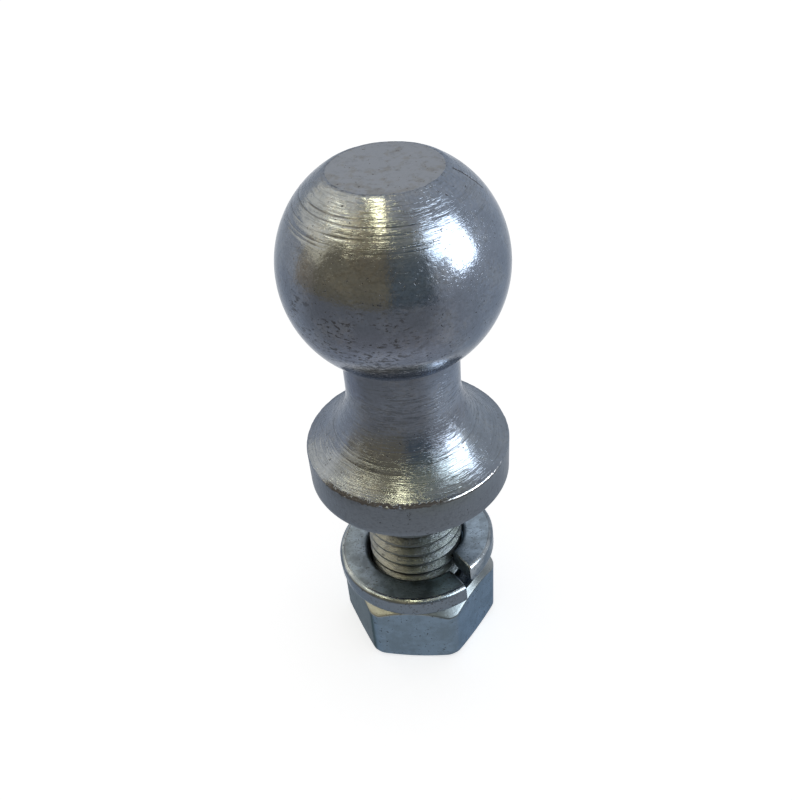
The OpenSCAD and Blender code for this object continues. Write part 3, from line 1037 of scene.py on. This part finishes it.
# Runs a tree on a piece and keeps the result as a plain mesh. Angles are in degrees.
def settle(piece, tree, values, angles):
    values = {**values, **{name: math.radians(angle) for name, angle in angles.items()}}
    modifier = piece.modifiers.new(tree.name, "NODES")
    modifier.node_group = tree
    for item in tree.interface.items_tree:
        if item.in_out == "INPUT" and item.name in values:
            modifier[item.identifier] = values[item.name]
    depsgraph = bpy.context.evaluated_depsgraph_get()
    mesh = bpy.data.meshes.new_from_object(piece.evaluated_get(depsgraph), depsgraph=depsgraph)
    piece.modifiers.remove(modifier)
    piece.data = mesh
    print(piece.name, len(mesh.polygons), "faces")


def fit(piece, body, node):
    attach(piece, body)
    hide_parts(node)


# A point of an outline, with the marks that the sweep's comment explains
def at(radius, height, **marks):
    return {"radius": radius, "height": height, **marks}


# Both threads share one pitch and one phase, so the nut follows the stud
threadSettings = {
    "pitch": 2.309 * mm,
    "start": -15,
    "below": 1.5,  # the first ridge starts this many turns below the shank's end
    "slope": 30,
    "radius": 7.9375 * mm,
    "studRoot": 6.521 * mm,
    "studCrest": 0.22,
    "nutRoot": 8.0875 * mm,
    "nutCrest": 6.688 * mm,
    "nutGroove": 0.18,
}


# Points of a thread's ridges, with slightly rounded edges. low and high are its radii, and crest is the
# share of a pitch that the flat on a ridge takes.
def threadPoints(low, high, crest, turns, wear):
    s = threadSettings
    start = studLow.z - s["below"] * s["pitch"]
    flank = (high - low) * math.tan(math.radians(s["slope"])) / s["pitch"]
    half = crest / 2
    shape = [(-half - flank, 0.0), (-half - flank * 0.1, 0.9), (-half * 0.7, 1.0),
             (half * 0.7, 1.0), (half + flank * 0.1, 0.9), (half + flank, 0.0)]
    return [at(low + (high - low) * out, start + (turn + along) * s["pitch"], lead=1, wear=wear * out)
            for turn in range(turns) for along, out in shape]


studSettings = {
    "ballRadius": 15.875 * mm,
    "flatRadius": 7.95 * mm,
    "flatRound": 0.45 * mm,
    "flatSteps": 6,
    "neckRadius": 8.65 * mm,
    "flareHeight": 10.75 * mm,
    "flangeThickness": 6.3 * mm,
    "rimBreak": 0.35 * mm,
    "shankLength": 35 * mm,
    "shoulderRadius": 8.0 * mm,
    "shoulderHeight": 2.5 * mm,
    "endRadius": 6.5375 * mm,
    "threadEnd": 0.2 * mm,  # from the thread's end to the shoulder
    "threadTurns": 17,
    "columns": 360,
    "step": 0.55 * mm,
    "chip": 0.50 * mm,
    "chipTurn": -108,
    "chipReach": 32,
    "burr": 0.08 * mm,
    "burrTurn": -54,
    "burrReach": 15,
    "threadWear": 0.09 * mm,
    "seatWear": 0.04 * mm,
    "flatWear": 0.07 * mm,
    "wearSize": 1.1 * mm,
    "seed": 3.0,
    "grooveGap": 0.04 * mm,
}


# Cuts the grooves into a run of points that climbs. A groove's own four points take the place of those
# that lie in it or within gap of it.
def grooved(points, gap):
    for height, width, depth in grooveSettings["grooves"]:
        middle, half = height * mm, width * mm / 2
        a, b = next((a, b) for a, b in zip(points, points[1:]) if a["height"] <= middle < b["height"])
        cuts = []
        for offset, share in ((-half, 0.0), (-half * 0.35, 0.9), (half * 0.35, 1.0), (half, 0.0)):
            t = (middle + offset - a["height"]) / (b["height"] - a["height"])
            radius = a["radius"] + (b["radius"] - a["radius"]) * t
            cuts.append(at(radius, middle + offset, groove=depth * mm * share))
        before = [p for p in points if p["height"] < cuts[0]["height"] - gap]
        after = [p for p in points if p["height"] > cuts[-1]["height"] + gap]
        points = before + cuts + after
    return points


# The shank's end face, its thread and its shoulder
def shankPoints(s, seat):
    t = threadSettings
    points = [at(0, studLow.z), at(s["endRadius"] * 0.5, studLow.z)]
    points += threadPoints(t["studRoot"], t["radius"], t["studCrest"], s["threadTurns"], s["threadWear"])
    shoulderFoot = seat - s["shoulderHeight"] + s["threadEnd"]
    return points + [at(s["shoulderRadius"], shoulderFoot), at(s["shoulderRadius"], seat)]


# The flange's seat and side, and its chipped upper rim
def flangePoints(s, seat, flangeTop):
    flange, rim, shoulder, wear = studHigh.x, s["rimBreak"], s["shoulderRadius"], s["seatWear"]
    points = [at(shoulder + (flange - shoulder) * k / 4, seat) for k in (1, 2, 3)]
    points += [at(flange - rim, seat, wear=wear), at(flange - rim * 0.3, seat + rim * 0.3, wear=wear * 2),
               at(flange, seat + rim, wear=wear)]
    sideHeight = s["flangeThickness"] - 2 * rim
    points += [at(flange, seat + rim + sideHeight * k / 8) for k in range(1, 8)]
    points.append(at(flange, flangeTop - rim * 1.8, chip=s["chip"] * 0.1))
    for k in range(7):
        a = math.radians(90 * k / 6)
        worn = math.sin(math.pi * (k + 1) / 8)
        points.append(at(flange - rim * (1 - math.cos(a)), flangeTop - rim * (1 - math.sin(a)),
                         chip=s["chip"] * worn, burr=s["burr"] * worn))
    return points


# The hollow of the flare, the neck and the ball up to its flat top
def climbPoints(s, flangeTop):
    neck, ball, flareTop = s["neckRadius"], s["ballRadius"], flangeTop + s["flareHeight"]
    width = studHigh.x - neck - s["rimBreak"]
    bend = (width ** 2 + s["flareHeight"] ** 2) / (2 * width)
    sweep = math.asin(s["flareHeight"] / bend)
    steps = int(bend * sweep / s["step"])
    points = []
    for k in range(1, steps + 1):
        a = sweep * (1 - k / steps)
        points.append(at(neck + bend * (1 - math.cos(a)), flareTop - bend * math.sin(a)))
    neckTop = ballCentre.z - math.sqrt(ball ** 2 - neck ** 2)
    points += [at(neck, flareTop + (neckTop - flareTop) * k / 6) for k in range(1, 6)]
    lowAngle = -math.acos(neck / ball)
    highAngle = math.acos((s["flatRadius"] + s["flatRound"]) / ball)
    steps = int(ball * (highAngle - lowAngle) / s["step"])
    for k in range(steps + 1):
        a = lowAngle + (highAngle - lowAngle) * k / steps
        points.append(at(ball * math.cos(a), ballCentre.z + ball * math.sin(a)))
    return points


# The flat top, with its soft edge as a curve that starts at the ball's last point
def flatPoints(s, outer):
    inner = s["flatRadius"] - s["flatRound"]
    points = []
    for k in range(1, s["flatSteps"] + 1):
        share = k / s["flatSteps"]
        left = (1 - share) ** 2
        radius = outer["radius"] * left + s["flatRadius"] * 2 * share * (1 - share) + inner * share ** 2
        points.append(at(radius, outer["height"] * left + studHigh.z * (1 - left), wear=s["flatWear"]))
    return points + [at(inner * (1 - k / 8), studHigh.z) for k in range(1, 8)] + [at(0, studHigh.z)]


# From the shank's end up to the middle of the flat top
def studOutline(s):
    seat = studLow.z + s["shankLength"]
    flangeTop = seat + s["flangeThickness"]
    points = shankPoints(s, seat) + flangePoints(s, seat, flangeTop)
    aboveRim = flangeTop + s["rimBreak"] * 0.4
    points += grooved([p for p in climbPoints(s, flangeTop) if p["height"] > aboveRim], s["grooveGap"])
    return points + flatPoints(s, points[-1])


def makeStud(s, tree):
    stud = outlineObject("turnedStud", studOutline(s))
    threadTop = studLow.z + s["shankLength"] - s["shoulderHeight"]
    settle(stud, tree,
           {"Columns": s["columns"], "Finish": turnedZinc, "Pitch": threadSettings["pitch"], "Side": 1.0,
            "Low": studLow.z, "High": threadTop, "Low Radius": s["endRadius"],
            "High Radius": s["shoulderRadius"], "Wear Size": s["wearSize"], "Seed": s["seed"]},
           {"Start": threadSettings["start"], "Chip Turn": s["chipTurn"], "Chip Reach": s["chipReach"],
            "Burr Turn": s["burrTurn"], "Burr Reach": s["burrReach"]})
    fit(stud, "stud", "ball_stud")


nutSettings = {
    "flats": 24.0 * mm,
    "cornerCut": 0.45 * mm,
    "cornerRound": 0.4 * mm,
    "turn": 52.4,
    "countersink": 0.5 * mm,
    "topInset": 1.0 * mm,
    "topSlope": 38,
    "footInset": 0.9 * mm,
    "footSlope": 20,
    "edgeBreak": 0.14 * mm,
    "threadTurns": 8,
    "columns": 360,
    "wearSize": 1.5 * mm,
    "seed": 8.0,
}


# From the mouth at the foot up through the thread, and down the outside
def nutOutline(s):
    t = threadSettings
    low, high = nutLow.z, nutHigh.z
    mouth = t["nutRoot"] + s["countersink"]
    top = s["flats"] / 2 - s["topInset"]
    foot = s["flats"] / 2 - s["footInset"]
    topRise = -math.tan(math.radians(s["topSlope"]))
    footRise = math.tan(math.radians(s["footSlope"]))
    edge = s["edgeBreak"]
    points = [at(mouth, low)]
    points += threadPoints(t["nutCrest"], t["nutRoot"], t["nutGroove"], s["threadTurns"], 0)
    points += [at(mouth, high), at((mouth + top) / 2, high), at(top - edge, high),
               at(top + edge, high - edge * 0.5)]
    points += [at(top, high, spread=k, rise=topRise) for k in (0.2, 0.4, 0.6, 0.8, 0.94)]
    points += [at(top, high - edge * 0.25, spread=0.985, rise=topRise),
               at(top, high - edge * 1.0, spread=1, rise=topRise),
               at(top, high - edge * 2.2, spread=1, rise=topRise)]
    points += [at(top, low + (high - low) * k, spread=1) for k in (0.72, 0.6, 0.48, 0.36, 0.24, 0.15)]
    points += [at(foot, low + edge * 2.2, spread=1, rise=footRise),
               at(foot, low + edge * 1.0, spread=1, rise=footRise),
               at(foot, low + edge * 0.25, spread=0.985, rise=footRise)]
    points += [at(foot, low, spread=k, rise=footRise) for k in (0.94, 0.7, 0.4)]
    points += [at(foot, low), at((mouth + foot) / 2, low), at(mouth, low)]
    return points, mouth


def makeNut(s, tree):
    points, mouth = nutOutline(s)
    nut = outlineObject("threadedNut", points)
    flats = s["flats"] / 2
    corner = flats / math.cos(math.pi / 6) - s["cornerCut"]
    settle(nut, tree,
           {"Columns": s["columns"], "Finish": nutZinc, "Pitch": threadSettings["pitch"], "Side": -1.0,
            "Low": nutLow.z, "High": nutHigh.z, "Low Radius": mouth, "High Radius": mouth,
            "Flats Radius": flats, "Corner Radius": corner, "Corner Round": s["cornerRound"],
            "Wear Size": s["wearSize"], "Seed": s["seed"]},
           {"Start": threadSettings["start"], "Corner Turn": s["turn"]})
    fit(nut, "nut", "hex_nut")


washerSettings = {
    "bore": 8.3975 * mm,
    "radius": 13.5 * mm,
    "thickness": 3.55 * mm,
    "round": 0.85 * mm,
    "roundSteps": 6,
    "rise": 3.5 * mm,
    "lean": 5,
    "leanTurn": 132,
    "cutTurn": -60,
    "cutOffset": 1.15 * mm,
    "cutWidth": 1.2 * mm,
    "endBreak": 0.16 * mm,
    "columns": 300,
    "wear": 0.07 * mm,
    "wearSize": 2.2 * mm,
    "seed": 5.0,
}


def washerOutline(s):
    r, steps = s["round"], s["roundSteps"]
    corners = [(s["radius"] - r, r, -90), (s["radius"] - r, s["thickness"] - r, 0),
               (s["bore"] + r, s["thickness"] - r, 90), (s["bore"] + r, r, 180)]
    points = []
    for radius, height, start in corners:
        for k in range(steps + 1):
            a = math.radians(start + 90 * k / steps)
            points.append(at(radius + r * math.cos(a), height + r * math.sin(a), wear=s["wear"]))
    middle = (s["bore"] + s["radius"]) / 2
    split = 2 * (steps + 1)
    points.insert(split, at(middle, s["thickness"], wear=s["wear"]))  # halfway across the top
    points.append(at(middle, 0, wear=s["wear"]))
    points.append(dict(points[0]))
    return points


def makeWasher(s, tree):
    washer = outlineObject("coiledWasher", washerOutline(s))
    settle(washer, tree,
           {"Columns": s["columns"], "Finish": washerZinc, "Middle Radius": (s["bore"] + s["radius"]) / 2,
            "Middle Height": s["thickness"] / 2, "Rise": s["rise"], "Cut Offset": s["cutOffset"],
            "Cut Width": s["cutWidth"], "End Break": s["endBreak"], "Foot": washerLow.z,
            "Wear Size": s["wearSize"], "Seed": s["seed"]},
           {"Lean": s["lean"], "Lean Turn": s["leanTurn"], "Cut Turn": s["cutTurn"]})
    fit(washer, "washer", "lock_washer")


turnedSweep = sweepTree()
makeStud(studSettings, turnedSweep)
makeNut(nutSettings, turnedSweep)
makeWasher(washerSettings, coilTree())
print("stud, nut and washer made")
